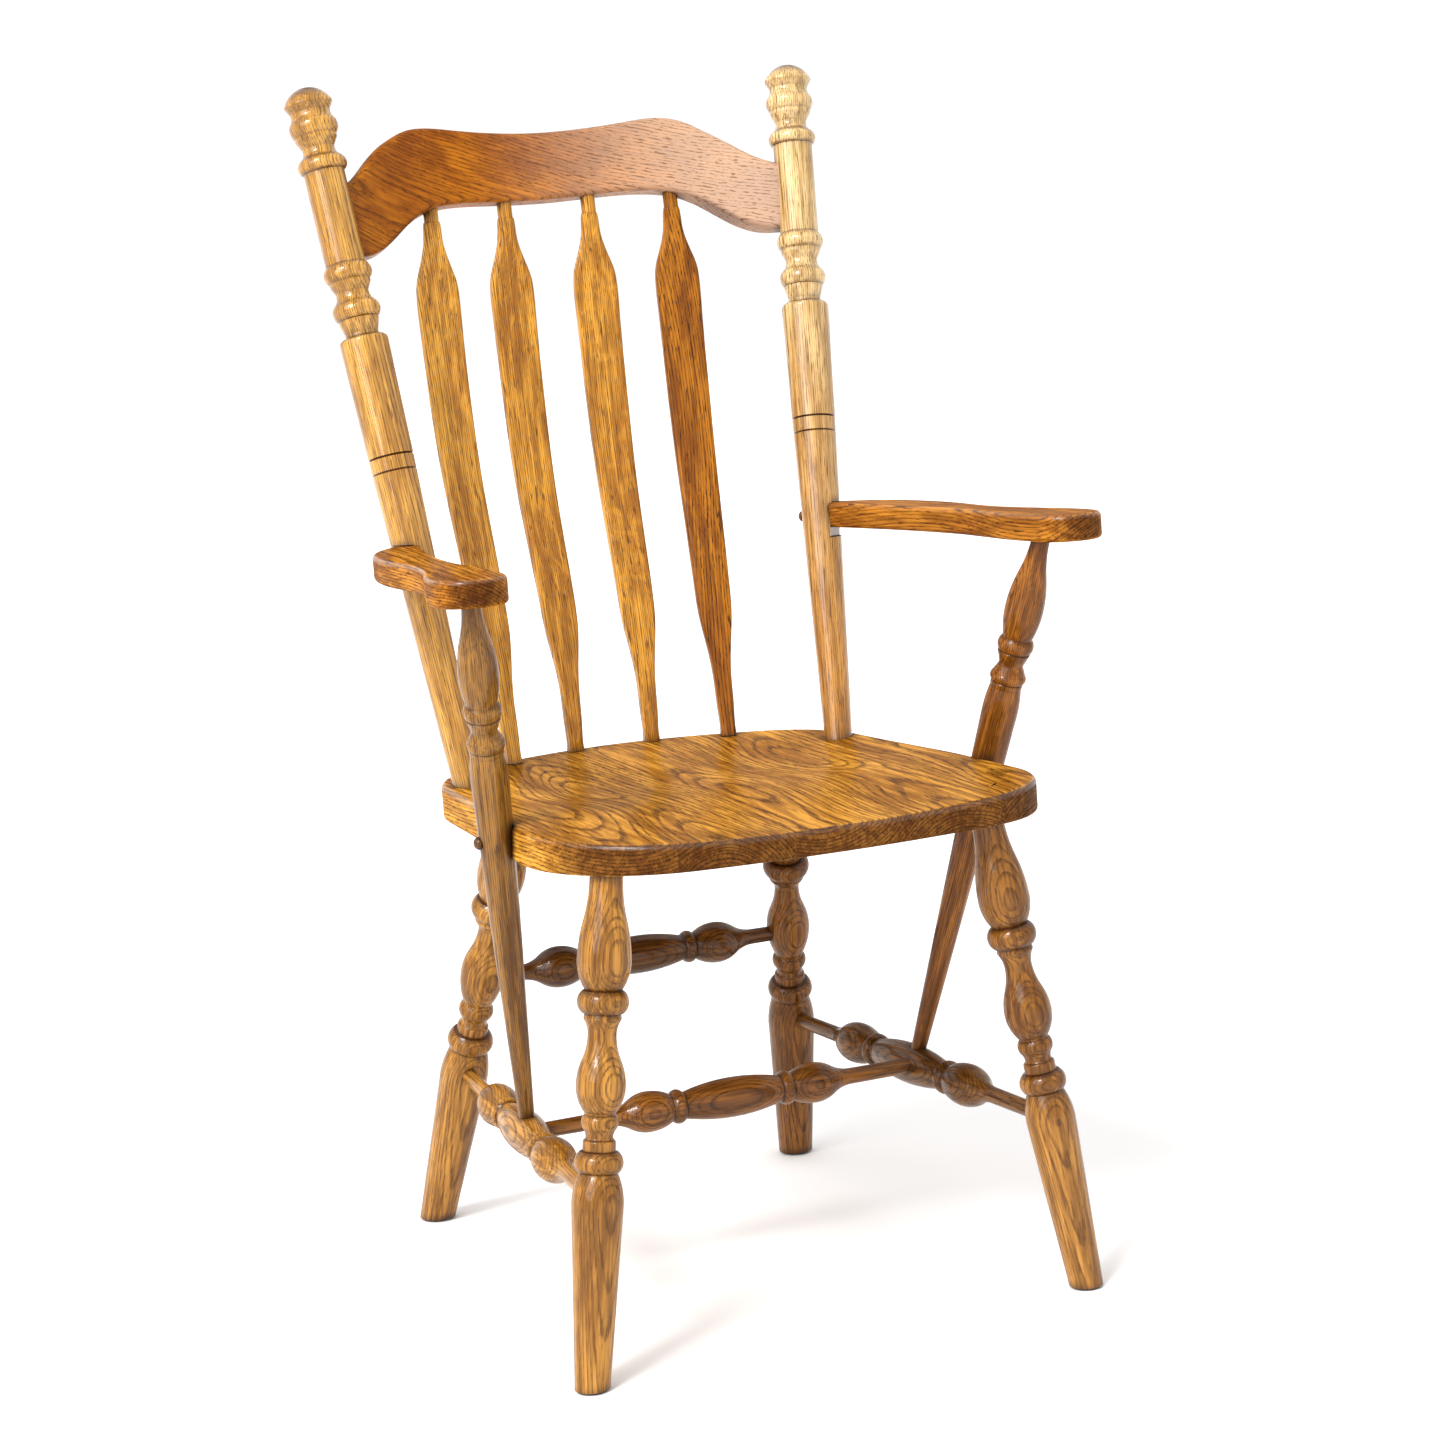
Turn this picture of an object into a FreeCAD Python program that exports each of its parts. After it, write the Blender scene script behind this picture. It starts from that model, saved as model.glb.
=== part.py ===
import FreeCAD, Part
import math
import os
import Sketcher
from FreeCAD import Vector

# Turned wooden armchair.  Units mm, +Z up, the sitter faces -Y, mirror plane x = 0.
# Every station of a turned piece is measured along its own axis.

os.makedirs("parts", exist_ok=True)
doc = FreeCAD.newDocument("armchair")

SIZES = {
    # seat
    "seat_top": 450.0, "seat_thick": 33.0, "seat_front": 268.0, "seat_back": 245.0,
    "seat_half_left": 226.0, "seat_half_right": 232.5, "seat_half_back": 200.0,
    "seat_front_reach": 237.0,
    "seat_back_reach": 176.0, "seat_corner_left": 124.0, "seat_corner_right": 82.0,
    "seat_back_corner": 112.0, "seat_top_round": 5.0, "seat_under_round": 4.0,
    "hollow_deep": 9.0, "hollow_x": 92.0, "hollow_y": 50.0, "hollow_wide": 76.0,
    "hollow_long": 112.0, "front_fall": 11.0,
    # axis ends of the leaning pieces
    "front_leg_top_x": 172.5, "front_leg_top_y": -205.0, "front_foot_x": 227.8,
    "front_foot_y": -230.7, "rear_leg_top_x": 134.9, "rear_leg_top_y": 143.6,
    "rear_foot_x": 190.7, "rear_foot_y": 309.4, "leg_top_z": 411.0,
    "post_foot_x": 182.8, "post_foot_y": 116.0, "post_rim_x": 236.6, "post_rim_y": 253.0,
    "post_rim_z": 1063.2, "arm_post_top_x": 256.6, "arm_post_top_y": -171.4,
    "arm_post_foot_x": 190.4, "arm_post_foot_y": 0.2, "arm_post_foot_z": 169.5,
    "outer_spindle_x": 108.7, "outer_spindle_y": 206.8, "outer_spindle_head_x": 119.9,
    "inner_spindle_x": 38.6, "inner_spindle_y": 230.0, "inner_spindle_head_x": 42.0,
    # legs
    "leg_tenon": 31.0, "leg_tenon_r": 13.8, "foot_gap": 2.2,
    "front_vase_r": 22.2, "front_ring_r": 21.3, "front_bulb_r": 20.4, "front_bead_r": 15.3,
    "front_collar_r": 20.2, "front_swell_r": 21.4, "front_foot_r": 13.9,
    "rear_vase_r": 22.4, "rear_ring_r": 22.3, "rear_bulb_r": 20.8, "rear_bead_r": 16.4,
    "rear_collar_r": 21.7, "rear_swell_r": 22.8, "rear_foot_r": 16.2,
    "leg_neck_r": 11.8, "glide_thick": 2.0,
    # back posts
    "post_r": 18.6, "post_rim_r": 22.3, "post_bulb_r": 22.5, "post_ring_r": 22.6,
    "post_shoulder_r": 22.3, "post_groove_r": 20.4, "post_foot_r": 13.1, "post_dome": 15.0,
    "post_neck_r": 14.7, "post_tenon": 24.0,
    # arm posts
    "arm_post_ring_r": 16.0, "arm_post_vase_r": 16.9, "arm_post_head_r": 8.0,
    "arm_post_low_r": 16.0, "arm_post_foot_r": 6.9, "arm_post_neck_r": 11.0,
    # stretchers
    "side_bulb_r": 19.2, "side_barrel_r": 18.4, "cross_bulb_r": 18.3, "cross_barrel_r": 17.9,
    "back_bulb_r": 19.7, "back_barrel_r": 18.2, "stretcher_ring_r": 15.5,
    "stretcher_end_r": 7.0, "stretcher_neck_r": 12.0, "side_joint_rear_z": 155.8,
    "side_joint_front_z": 151.8, "rear_joint_z": 250.7,
    # crest rail
    "crest_bend_r": 399.6, "crest_thick": 24.0, "crest_lean": 12.6, "crest_y": 305.5,
    "crest_z": 965.0, "crest_round": 5.0, "crest_half": 229.0,
    # spindles
    "spindle_blade": 42.0, "spindle_thick": 12.5, "spindle_stem": 15.4, "spindle_set": 2.5,
    "inner_bow": 15.2, "outer_bow": 17.5, "spindle_dip": 5.0, "spindle_peg_r": 6.9,
    # arms
    "arm_top": 665.8, "arm_thick": 23.0, "arm_round": 4.0,
    # fixings
    "screw_shank_r": 2.1, "screw_head_r": 3.6, "button_r": 5.6, "button_high": 4.6,
    # fit and frame
    "fit": 0.1, "shift_y": -31.2,
}
sheet = doc.addObject("Spreadsheet::Sheet", "Sizes")
for row, (word, size) in enumerate(SIZES.items(), 1):
    sheet.set("A%d" % row, word)
    sheet.set("B%d" % row, str(size))
    sheet.setAlias("B%d" % row, word)
doc.recompute()


def size(word):
    return float(sheet.get(word))


def at(x, y, z):
    return Vector(x, y + size("shift_y"), z)


def ref(words):
    """Turns 'a + b * 2' into an expression on the sheet and its present value."""
    parts = words.split()
    value = eval_words(parts)
    return " ".join("Sizes." + p if p in SIZES else p for p in parts), value


def eval_words(parts):
    total, sign, product, times = 0.0, 1.0, None, True
    for p in parts:
        if p in "+-":
            total += sign * product
            sign, product = (1.0 if p == "+" else -1.0), None
        elif p in "*/":
            times = p == "*"
        else:
            number = size(p) if p in SIZES else float(p)
            if product is None:
                product = number
            else:
                product = product * number if times else product / number
    return total + sign * product


def halved(words):
    return "0.5 * " + words.replace(" + ", " + 0.5 * ").replace(" - ", " - 0.5 * ")


def drive(sketch, index, words):
    expression, _ = ref(words)
    sketch.setExpression("Constraints[%d]" % index, expression)


def flat_sketch(body, name, plane):
    sketch = body.newObject("Sketcher::SketchObject", name)
    sketch.AttachmentSupport = [(next(f for f in body.Origin.OriginFeatures
                                      if f.Name.startswith(plane)), "")]
    sketch.MapMode = "FlatFace"
    return sketch


def arc_between(start, end, centre):
    """Arc of circle from start to end the short way round."""
    radius = start.distanceToPoint(centre)
    a = math.atan2(start.y - centre.y, start.x - centre.x)
    b = math.atan2(end.y - centre.y, end.x - centre.x)
    turn = (b - a) % (2 * math.pi)
    circle = Part.Circle(centre, Vector(0, 0, 1), radius)
    if turn <= math.pi:
        return Part.ArcOfCircle(circle, a, a + turn), 1, 2
    return Part.ArcOfCircle(circle, b, b + (2 * math.pi - turn)), 2, 1


def turned(label, stations):
    """Body of revolution about its own Z.  A station is (along, radius, way to the next).
    Ways: line; swell = round, upright at the start; land = round, upright at the end;
    cap = round, level at the end; ogee = both rounds, upright at both ends."""
    body = doc.addObject("PartDesign::Body", label + "_blank")
    sketch = flat_sketch(body, label + "_profile", "XZ_Plane")
    full = []
    for (z0, r0, way), (z1, r1, _) in zip(stations, stations[1:] + stations[:1]):
        full.append((z0, r0, "swell" if way == "ogee" else way))
        if way == "ogee":
            full.append((halved(z0) + " + " + halved(z1), halved(r0) + " + " + halved(r1),
                         "land"))
    points = [Vector(ref(r)[1], ref(z)[1], 0) for z, r, _ in full]
    low, high = Vector(0, points[0].y, 0), Vector(0, points[-1].y, 0)
    closed = points[-1].x > 1e-6
    ends = []
    for i, (a, b) in enumerate(zip(points, points[1:])):
        way = full[i][2]
        if way == "line":
            sketch.addGeometry(Part.LineSegment(a, b), False)
            ends.append((1, 2))
            continue
        chord = b - a
        if way == "cap":
            radius = (chord.x ** 2 + chord.y ** 2) / (2 * abs(chord.y))
            centre = Vector(0, b.y - math.copysign(radius, chord.y), 0)
        else:
            radius = (chord.x ** 2 + chord.y ** 2) / (2 * chord.x)
            anchor = a if way == "swell" else b
            away = radius if way == "swell" else -radius
            centre = Vector(anchor.x + away, anchor.y, 0)
        arc, first, last = arc_between(a, b, centre)
        sketch.addGeometry(arc, False)
        ends.append((first, last))
    count = len(ends)
    if closed:
        sketch.addGeometry(Part.LineSegment(points[-1], high), False)
        ends.append((1, 2))
    sketch.addGeometry(Part.LineSegment(high, low), False)
    ends.append((1, 2))
    sketch.addGeometry(Part.LineSegment(low, points[0]), False)
    ends.append((1, 2))
    total = len(ends)
    for i in range(total):
        j = (i + 1) % total
        sketch.addConstraint(Sketcher.Constraint("Coincident", i, ends[i][1], j, ends[j][0]))
    axis = total - 2
    sketch.addConstraint(Sketcher.Constraint("PointOnObject", axis, 1, -2))
    sketch.addConstraint(Sketcher.Constraint("PointOnObject", axis, 2, -2))
    sketch.addConstraint(Sketcher.Constraint("Horizontal", total - 1))
    if closed:
        sketch.addConstraint(Sketcher.Constraint("Horizontal", count))
    for i, (z, r, way) in enumerate(full):
        edge, end = (i, ends[i][0]) if i < count else (count - 1, ends[count - 1][1])
        if points[i].x > 1e-6:
            n = sketch.addConstraint(Sketcher.Constraint(
                "DistanceX", -1, 1, edge, end, points[i].x))
            drive(sketch, n, r)
        if abs(points[i].y) < 1e-6:
            sketch.addConstraint(Sketcher.Constraint("PointOnObject", edge, end, -1))
        else:
            n = sketch.addConstraint(Sketcher.Constraint(
                "DistanceY", -1, 1, edge, end, points[i].y))
            drive(sketch, n, z)
        if i < count and way == "cap":
            sketch.addConstraint(Sketcher.Constraint("PointOnObject", i, 3, -2))
        elif i < count and way in ("swell", "land"):
            end = ends[i][0] if way == "swell" else ends[i][1]
            sketch.addConstraint(Sketcher.Constraint("Horizontal", i, 3, i, end))
    spin = body.newObject("PartDesign::Revolution", label + "_turning")
    spin.Profile = sketch
    spin.ReferenceAxis = (sketch, ["V_Axis"])
    spin.Angle = 360.0
    sketch.Visibility = False
    return body


def along(start, end):
    return FreeCAD.Placement(start, FreeCAD.Rotation(Vector(0, 0, 1), end - start))


def rod(name, start, end, radius):
    tool = doc.addObject("Part::Cylinder", name)
    tool.Radius = radius
    tool.Height = start.distanceToPoint(end)
    tool.Placement = along(start, end)
    return tool


def cut(label, base, tools):
    if len(tools) > 1:
        many = doc.addObject("Part::MultiFuse", label + "_tools")
        many.Shapes = tools
        tools = [many]
    piece = doc.addObject("Part::Cut", label)
    piece.Base, piece.Tool = base, tools[0]
    piece.Label = label
    return piece


def joined(label, pieces):
    piece = doc.addObject("Part::MultiFuse", label)
    piece.Shapes = pieces
    piece.Label = label
    return piece


def on_axis(top, foot, z):
    return top + (foot - top) * ((top.z - z) / (top.z - foot.z))


SIDES = (("left", -1), ("right", 1))
parts = {}
fit = size("fit")
seat_top, seat_under = size("seat_top"), size("seat_top") - size("seat_thick")

# ---------------------------------------------------------------- axis points
axes = {}
for side, s in SIDES:
    for leg in ("front", "rear"):
        axes[leg, side] = (
            at(s * size(leg + "_leg_top_x"), size(leg + "_leg_top_y"), size("leg_top_z")),
            at(s * size(leg + "_foot_x"), size(leg + "_foot_y"), 0))
    axes["post", side] = (
        at(s * size("post_rim_x"), size("post_rim_y"), size("post_rim_z")),
        at(s * size("post_foot_x"), size("post_foot_y"), seat_top))
    axes["arm_post", side] = (
        at(s * size("arm_post_top_x"), size("arm_post_top_y"),
           size("arm_top") - size("arm_thick")),
        at(s * size("arm_post_foot_x"), size("arm_post_foot_y"), size("arm_post_foot_z")))
    axes["side", side] = tuple(on_axis(*axes[leg, side], size("side_joint_%s_z" % leg))
                               for leg in ("rear", "front"))
axes["rear"] = tuple(on_axis(*axes["rear", side], size("rear_joint_z")) for side, s in SIDES)
CROSS_SHARE = 0.542
CROSS_RAISE = Vector(0, 0, 4.2)
axes["cross"] = tuple(a + (b - a) * CROSS_SHARE + CROSS_RAISE for a, b in
                      (axes["side", side] for side, s in SIDES))


# ---------------------------------------------------------------- legs
# distances down the axis from the top reference, one pair of values per leg kind
LEG_MARKS = {
    "front": {"vase": 66.4, "vase_end": 89.0, "ring_end": 108.6, "lip": 112.5, "neck": 125.5,
              "bulb": 166.9, "bulb_end": 188.8, "bead": 196.5, "bead_neck": 208.5,
              "fillet": 213.0, "fillet_end": 220.5, "collar": 229.6, "collar_end": 238.0,
              "swell": 263.5, "foot": 415.2},
    "rear": {"vase": 60.0, "vase_end": 87.0, "ring_end": 107.0, "lip": 110.5, "neck": 122.0,
             "bulb": 167.4, "bulb_end": 199.0, "bead": 207.2, "bead_neck": 219.5,
             "fillet": 225.5, "fillet_end": 232.0, "collar": 241.5, "collar_end": 250.5,
             "swell": 282.0, "foot": 446.4}}


def leg_stations(kind):
    m = LEG_MARKS[kind]

    def z(mark, more=0.0):
        return "leg_tenon + %g" % (m[mark] + more)

    ring_mid = (m["vase_end"] + m["ring_end"]) / 2
    crease = "%s_collar_r - 4.2" % kind
    return [
        ("0", "leg_tenon_r - 1.5", "line"), ("1.5", "leg_tenon_r", "line"),
        ("leg_tenon", "leg_tenon_r", "ogee"), (z("vase"), kind + "_vase_r", "swell"),
        (z("vase_end"), kind + "_vase_r - 6.6", "line"),
        (z("vase_end", 1.0), kind + "_ring_r - 4.0", "land"),
        ("leg_tenon + %g" % ring_mid, kind + "_ring_r", "swell"),
        (z("ring_end", -0.6), kind + "_ring_r - 4.0", "line"),
        (z("ring_end"), kind + "_ring_r - 6.2", "line"),
        (z("lip"), kind + "_ring_r - 5.6", "line"),
        (z("lip", 1.6), kind + "_ring_r - 6.4", "land"),
        (z("neck"), "leg_neck_r", "ogee"), (z("bulb"), kind + "_bulb_r", "swell"),
        (z("bulb_end"), kind + "_bulb_r - 7.4", "line"),
        (z("bulb_end", 1.4), kind + "_bead_r - 2.6", "land"),
        (z("bead"), kind + "_bead_r", "ogee"),
        (z("bead_neck"), kind + "_bead_r - 4.0", "ogee"),
        (z("fillet"), kind + "_bead_r - 1.7", "line"),
        (z("fillet_end", -1.2), kind + "_bead_r - 1.7", "line"),
        (z("fillet_end"), crease, "land"),
        (z("collar"), kind + "_collar_r", "swell"),
        (z("collar_end"), crease, "line"),
        (z("collar_end", 1.2), "%s_swell_r - 5.0" % kind, "land"),
        (z("swell"), kind + "_swell_r", "line"),
        (z("foot", 14.0), kind + "_foot_r", "line"),
    ]


def level_trim(name):
    trim = doc.addObject("Part::Box", name)
    trim.Length, trim.Width, trim.Height = 900, 900, 60
    trim.Placement.Base = Vector(-450, -450, size("foot_gap") - 60)
    return trim


def bite(name, axis, end, radius):
    """Mortise for a stretcher end centred on a leg axis."""
    a, b = axis if end == 0 else axis[::-1]
    run = (b - a).normalize()
    return rod(name, a - run * 1.0, a + run * 40.0, radius)


for side, s in SIDES:
    for kind, end in (("rear", 0), ("front", 1)):
        label = "%s_leg_%s" % (kind, side)
        top, foot = axes[kind, side]
        run = (foot - top).normalize()
        blank = turned(label, leg_stations(kind))
        blank.Placement = along(top - run * size("leg_tenon"), foot)
        tools = [level_trim(label + "_trim"),
                 bite(label + "_side_mortise", axes["side", side], end,
                      size("stretcher_end_r") + fit)]
        if kind == "rear":
            tools.append(bite(label + "_rear_mortise", axes["rear"], 0 if s < 0 else 1,
                              size("stretcher_end_r") + fit))
        parts[label] = cut(label, blank, tools)

        glide = "foot_glide_%s_%s" % (kind, side)
        radius = size(kind + "_foot_r") - 1.6
        disc = turned(glide, [("0", "%g" % (radius - 0.6), "line"),
                              ("0.6", "%g" % radius, "line"),
                              ("glide_thick", "%g" % radius, "line")])
        disc.Placement.Base = Vector(foot.x, foot.y, 0)
        disc.Label = glide
        parts[glide] = disc


# ---------------------------------------------------------------- stretchers
def stretcher_stations(kind, length, ring_share, bulb_reach):
    """Two bulbs, two rings and a barrel, mirrored about the middle; ends stop in the wood."""
    ring, half = length * ring_share, length / 2

    def half_marks():
        return [
            (1.0, "stretcher_end_r", "line"),
            (ring - bulb_reach * 2.3, "stretcher_end_r + 0.3", "ogee"),
            (ring - bulb_reach, kind + "_bulb_r", "swell"),
            (ring - 6.2, "stretcher_neck_r + 0.6", "line"),
            (ring - 5.0, "stretcher_ring_r - 2.0", "land"),
            (ring, "stretcher_ring_r", "swell"),
            (ring + 5.0, "stretcher_ring_r - 2.0", "line"),
            (ring + 6.2, "stretcher_neck_r", "land"),
        ]

    first = half_marks()
    turn = {"line": "line", "ogee": "ogee", "swell": "land", "land": "swell"}
    stations = [("%g" % z, r, w) for z, r, w in first]
    stations.append(("%g" % half, kind + "_barrel_r", "swell"))
    for i in range(len(first) - 1, -1, -1):
        way = turn[first[i - 1][2]] if i else "line"
        stations.append(("%g" % (length - first[i][0]), first[i][1], way))
    return stations


def stretcher(label, kind, axis, ring_share, bulb_reach):
    a, b = axis
    blank = turned(label, stretcher_stations(kind, a.distanceToPoint(b), ring_share, bulb_reach))
    blank.Placement = along(a, b)
    return blank


for side, s in SIDES:
    label = "side_stretcher_" + side
    a, b = axes["side", side]
    blank = stretcher(label, "side", (a, b), 0.362, 34.0)
    top, foot = axes["arm_post", side]
    drop = (foot - top).normalize()
    mid = axes["cross"][0 if s < 0 else 1]
    inward = Vector(-s, 0, 0)
    parts[label] = cut(label, blank, [
        rod(label + "_arm_mortise", foot - drop * 20, foot + drop * 11.0,
            size("arm_post_foot_r") + fit),
        rod(label + "_cross_mortise", mid + inward * 6.5, mid + inward * 40,
            size("stretcher_end_r") + fit)])

inset = Vector(8.0, 0, 0)
cross_axis = (axes["cross"][0] + inset, axes["cross"][1] - inset)
label = "cross_stretcher"
blank = stretcher(label, "cross", cross_axis, 0.356, 28.0)
blank.Label = label
parts[label] = blank
label = "rear_stretcher"
blank = stretcher(label, "back", axes["rear"], 0.337, 29.0)
blank.Label = label
parts[label] = blank

# ---------------------------------------------------------------- crest rail blank
lean = math.radians(size("crest_lean"))
crest_place = FreeCAD.Placement(at(0, size("crest_y"), size("crest_z")),
                                FreeCAD.Rotation(Vector(1, 0, 0), -size("crest_lean")))
bend = size("crest_bend_r") * math.cos(lean)


def crest_band():
    body = doc.addObject("PartDesign::Body", "crest_bend")
    sketch = flat_sketch(body, "crest_bend_plan", "XY_Plane")
    half, thick = size("crest_half"), size("crest_thick") / 2
    centre = Vector(0, -bend, 0)
    ends = []
    for radius in (bend + thick, bend - thick):
        spread = math.asin(half / radius)
        ends.append((Vector(-half, radius * math.cos(spread) - bend, 0),
                     Vector(half, radius * math.cos(spread) - bend, 0)))
        up = math.pi / 2
        sketch.addGeometry(Part.ArcOfCircle(Part.Circle(centre, Vector(0, 0, 1), radius),
                                            up - spread, up + spread), False)
    sketch.addGeometry(Part.LineSegment(ends[0][0], ends[1][0]), False)
    sketch.addGeometry(Part.LineSegment(ends[1][1], ends[0][1]), False)
    C = Sketcher.Constraint
    sketch.addConstraint([C("Coincident", 0, 2, 2, 1), C("Coincident", 2, 2, 1, 2),
                          C("Coincident", 1, 1, 3, 1), C("Coincident", 3, 2, 0, 1),
                          C("Vertical", 2), C("Vertical", 3), C("Coincident", 0, 3, 1, 3),
                          C("Symmetric", 2, 1, 3, 2, -2)])
    n = sketch.addConstraint(C("Distance", 2, 1, 3, 2, 2 * half))
    drive(sketch, n, "2 * crest_half")
    n = sketch.addConstraint(C("Radius", 0, bend + thick))
    drive(sketch, n, "crest_bend_r * %.6f + 0.5 * crest_thick" % math.cos(lean))
    n = sketch.addConstraint(C("Radius", 1, bend - thick))
    drive(sketch, n, "crest_bend_r * %.6f - 0.5 * crest_thick" % math.cos(lean))
    n = sketch.addConstraint(C("DistanceY", 0, 3, -1, 1, bend))
    drive(sketch, n, "crest_bend_r * %.6f" % math.cos(lean))
    pad = body.newObject("PartDesign::Pad", "crest_bend_pad")
    pad.Profile = sketch
    pad.Length = 260
    pad.Midplane = True
    sketch.Visibility = False
    body.Placement = crest_place
    return body


# heights of the rail's edges over its own middle line, sitter's right side then left side
CREST_TOP = (((0, 65.0), (45, 66.2), (85, 68.8), (117, 70.0), (137, 66.8), (155, 58.4),
              (175, 45.0), (193, 27.0), (207, 14.0), (232, 2.4)),
             ((0, 65.0), (45, 66.2), (85, 68.4), (117, 68.4), (137, 62.2), (155, 50.0),
              (175, 34.0), (193, 18.5), (207, 9.0), (232, 0.0)))
CREST_UNDER = (((0, 0.2), (62, -0.2), (106, -3.4), (130, -10.6), (155, -28.0), (178, -46.6),
                (197, -55.6), (212, -58.2), (232, -60.4)),
               ((0, 0.2), (62, 1.8), (106, -1.4), (130, -8.8), (155, -26.4), (178, -45.4),
                (197, -54.8), (212, -57.6), (232, -60.0)))


def both_sides(edge):
    first, second = edge
    return [Vector(-x, z, 0) for x, z in reversed(first[1:])] + [Vector(x, z, 0)
                                                                 for x, z in second]


def crest_outline():
    body = doc.addObject("PartDesign::Body", "crest_shape")
    sketch = flat_sketch(body, "crest_front", "XZ_Plane")
    upper, under = Part.BSplineCurve(), Part.BSplineCurve()
    top, low = both_sides(CREST_TOP), both_sides(CREST_UNDER)
    upper.interpolate(top)
    under.interpolate(low)
    for curve in (upper, under, Part.LineSegment(low[0], top[0]),
                  Part.LineSegment(low[-1], top[-1])):
        n = sketch.addGeometry(curve, False)
        sketch.addConstraint(Sketcher.Constraint("Block", n))
    pad = body.newObject("PartDesign::Pad", "crest_shape_pad")
    pad.Profile = sketch
    pad.Length = 300
    pad.Midplane = True
    sketch.Visibility = False
    body.Placement = crest_place
    return body


crest_blank = doc.addObject("Part::MultiCommon", "crest_blank")
crest_blank.Shapes = [crest_band(), crest_outline()]
doc.recompute()


def long_edges(shape, least):
    return [i + 1 for i, e in enumerate(shape.Edges) if e.Length > least]


def rounded(name, base, indices, radius):
    soft = doc.addObject("Part::Fillet", name)
    soft.Base = base
    soft.Edges = [(i, radius, radius) for i in indices]
    return soft


crest_soft = rounded("crest_soft", crest_blank, long_edges(crest_blank.Shape, 200.0),
                     size("crest_round"))


# ---------------------------------------------------------------- spindles
# share of the length from the seat, half width, corner softness
BLADE = ((0.0, 7.7), (0.05, 7.9), (0.10, 8.5), (0.135, 9.7), (0.18, 12.9), (0.225, 16.0),
         (0.27, 17.0), (0.34, 17.7), (0.42, 18.4), (0.50, 19.2), (0.60, 20.0), (0.70, 20.5),
         (0.78, 20.9), (0.845, 21.0),
         (0.868, 19.6), (0.888, 16.4), (0.915, 11.6), (0.94, 9.2), (0.965, 8.2), (1.0, 7.2))


# share of the length at the deepest point, spread below it, end of the forward dip
BOWS = {"inner": (0.56, 0.20, 0.38), "outer": (0.58, 0.25, 0.0)}


def stand_back(kind, share):
    """How far a spindle stands behind the straight line from foot to head."""
    bow, (deepest, spread, dip_end) = size(kind + "_bow"), BOWS[kind]
    if share >= deepest:
        return bow * (1 - ((share - deepest) / (1 - deepest)) ** 2)
    back = bow * math.exp(-((share - deepest) / spread) ** 2)
    if share < dip_end:
        back -= size("spindle_dip") * math.sin(math.pi * share / dip_end)
    return back


def spindle_form(label, kind, foot, head, turn):
    """Loft of rounded sections, level with the seat, bowed away from the sitter."""
    back = Vector(math.sin(turn), math.cos(turn), 0)
    spin = FreeCAD.Rotation(Vector(0, 0, 1), -math.degrees(turn))
    sections = []

    def middle(share):
        return foot + (head - foot) * share + back * stand_back(kind, share)

    for i, (share, half) in enumerate(BLADE):
        share = min(max(share, 0.0002), 0.975)
        full = size("spindle_blade") / 42.0
        stem = min(1.0, max(0.0, (half - 7.2) / 8.0))
        deep = (size("spindle_stem") * 0.47 * (1 - stem) + size("spindle_thick") * 0.5 * stem)
        deep = min(deep, half)
        soft = min(half, deep) * (0.86 if share > 0.93 else 0.62)
        sketch = doc.addObject("Sketcher::SketchObject", "%s_section_%d" % (label, i))
        half = half * full
        w, d, q = half - soft, deep - soft, math.pi / 2
        corners = ((w, d, 0), (-w, d, 1), (-w, -d, 2), (w, -d, 3))
        arcs = []
        for x, y, k in corners:
            arcs.append(sketch.addGeometry(Part.ArcOfCircle(
                Part.Circle(Vector(x, y, 0), Vector(0, 0, 1), soft), k * q, (k + 1) * q)))
        sides = ((Vector(w, deep, 0), Vector(-w, deep, 0)),
                 (Vector(-half, d, 0), Vector(-half, -d, 0)),
                 (Vector(-w, -deep, 0), Vector(w, -deep, 0)),
                 (Vector(half, -d, 0), Vector(half, d, 0)))
        C = Sketcher.Constraint
        for k, (a, b) in enumerate(sides):
            n = sketch.addGeometry(Part.LineSegment(a, b))
            sketch.addConstraint(C("Tangent", arcs[k], 2, n, 1))
            sketch.addConstraint(C("Tangent", n, 2, arcs[(k + 1) % 4], 1))
        sketch.addConstraint([C("Equal", arcs[0], arcs[k]) for k in (1, 2, 3)])
        sketch.addConstraint([C("Horizontal", 4), C("Vertical", 5),
                              C("Symmetric", arcs[0], 3, arcs[2], 3, -1, 1)])
        sketch.addConstraint(C("Radius", arcs[0], soft))
        n = sketch.addConstraint(C("DistanceX", 5, 1, 7, 1, 2 * half))
        drive(sketch, n, "spindle_blade * %.5f" % (2 * half / size("spindle_blade")))
        sketch.addConstraint(C("DistanceY", 6, 1, 4, 1, 2 * deep))
        sketch.Placement = FreeCAD.Placement(middle(share), spin)
        sketch.Visibility = False
        sections.append(sketch)
    form = doc.addObject("Part::Loft", label + "_form")
    form.Sections = sections
    form.Solid = True
    form.Ruled = False
    return form, middle


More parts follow.
